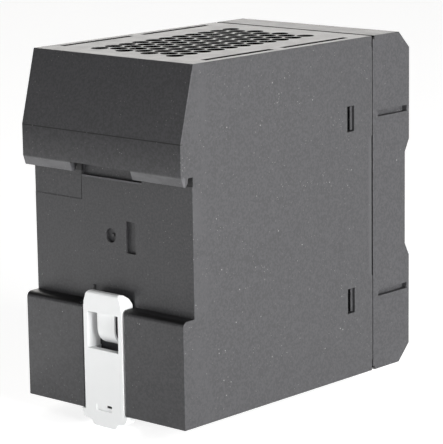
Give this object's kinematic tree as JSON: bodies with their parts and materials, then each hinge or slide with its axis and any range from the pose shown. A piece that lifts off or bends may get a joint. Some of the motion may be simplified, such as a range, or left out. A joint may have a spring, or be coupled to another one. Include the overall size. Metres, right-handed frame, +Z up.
{
  "type": "din rail power supply",
  "caption": "Plastic-cased power supply that hangs on a mounting rail and locks with a sliding latch; vented top, spring-clamp terminals, voltage adjuster and status lamp.",
  "frame": {"origin": "centre of the rail seat, on the wall that the rail lies against, at the rail's mid height", "axes": "+X across the housing, +Y out of the rear towards the rail, +Z up"},
  "size_m": [0.055, 0.0904, 0.094],
  "materials": {
    "case_plastic": "fine spark texture",
    "cover_plastic": "fine spark texture",
    "latch_plastic": "smooth moulded",
    "terminal_plastic": "moulded",
    "spring_steel": "satin",
    "tinned_copper": "tin plated",
    "trimmer_blue": "moulded",
    "trimmer_white": "moulded",
    "lamp_green": "diffused",
    "clear_plastic": "polished",
    "label_film": "blank printed film",
    "board_green": "solder mask",
    "gold_pins": "plated",
    "insulation_film": "satin film",
    "fuse_ceramic": "glazed",
    "nickel_plate": "plated",
    "clip_brass": "rolled",
    "varistor_coat": "dipped lacquer",
    "thermistor_coat": "dipped lacquer",
    "film_capacitor_shell": "moulded",
    "disc_capacitor_coat": "dipped lacquer",
    "ferrite": "sintered",
    "enamelled_copper": "enamelled",
    "winding_tape": "polyester tape",
    "moulded_black": "moulded",
    "epoxy_black": "moulded epoxy",
    "capacitor_sleeve": "shrink sleeve",
    "heatsink_aluminium": "rolled",
    "tinned_lead": "tin plated",
    "screw_steel": "zinc plated"
  },
  "bodies": {
    "housing": {"main_case": "case_plastic", "front_cover": "cover_plastic", "output_terminal_body": "terminal_plastic", "output_clamp_springs": "spring_steel", "output_current_bars": "tinned_copper", "input_terminal_body": "terminal_plastic", "input_clamp_springs": "spring_steel", "input_current_bars": "tinned_copper", "trimmer_body": "trimmer_blue", "status_led": "lamp_green", "light_pipe": "clear_plastic", "front_label": "label_film", "main_board": "board_green", "terminal_board": "board_green", "board_link_pins": "gold_pins", "insulation_sheet": "insulation_film", "fuse_body": "fuse_ceramic", "fuse_caps": "nickel_plate", "fuse_clips": "clip_brass", "varistor": "varistor_coat", "inrush_thermistor": "thermistor_coat", "x_capacitor": "film_capacitor_shell", "y_capacitors": "disc_capacitor_coat", "choke_core": "ferrite", "choke_windings": "enamelled_copper", "choke_base": "moulded_black", "bridge_rectifier": "epoxy_black", "bulk_capacitor": "capacitor_sleeve", "switch_heatsink": "heatsink_aluminium", "switch_transistor": "epoxy_black", "switch_leadframe": "tinned_lead", "switch_screw": "screw_steel", "transformer_core": "ferrite", "transformer_bobbin": "moulded_black", "transformer_winding": "winding_tape", "output_heatsink": "heatsink_aluminium", "output_diodes": "epoxy_black", "diode_leadframes": "tinned_lead", "output_diode_screws": "screw_steel", "output_inductor_core": "ferrite", "output_inductor_winding": "enamelled_copper", "output_capacitors": "capacitor_sleeve", "control_board": "board_green", "control_chips": "epoxy_black", "component_leads": "tinned_lead"},
    "latch": {"rail_latch": "latch_plastic"},
    "trimmer": {"trimmer_rotor": "trimmer_white"}
  },
  "joints": [
    {"name": "latch_slide", "type": "slide", "parent": "housing", "child": "latch", "axis": [0, 0, -1], "range_m": [0, 0.0045], "stiffness_N_per_m": 1500, "springref_m": -0.002},
    {"name": "trimmer_turn", "type": "hinge", "parent": "housing", "child": "trimmer", "pos_m": [0.014, -0.0835, -0.005], "axis": [0, -1, 0], "range_deg": [-135, 135]}
  ]
}
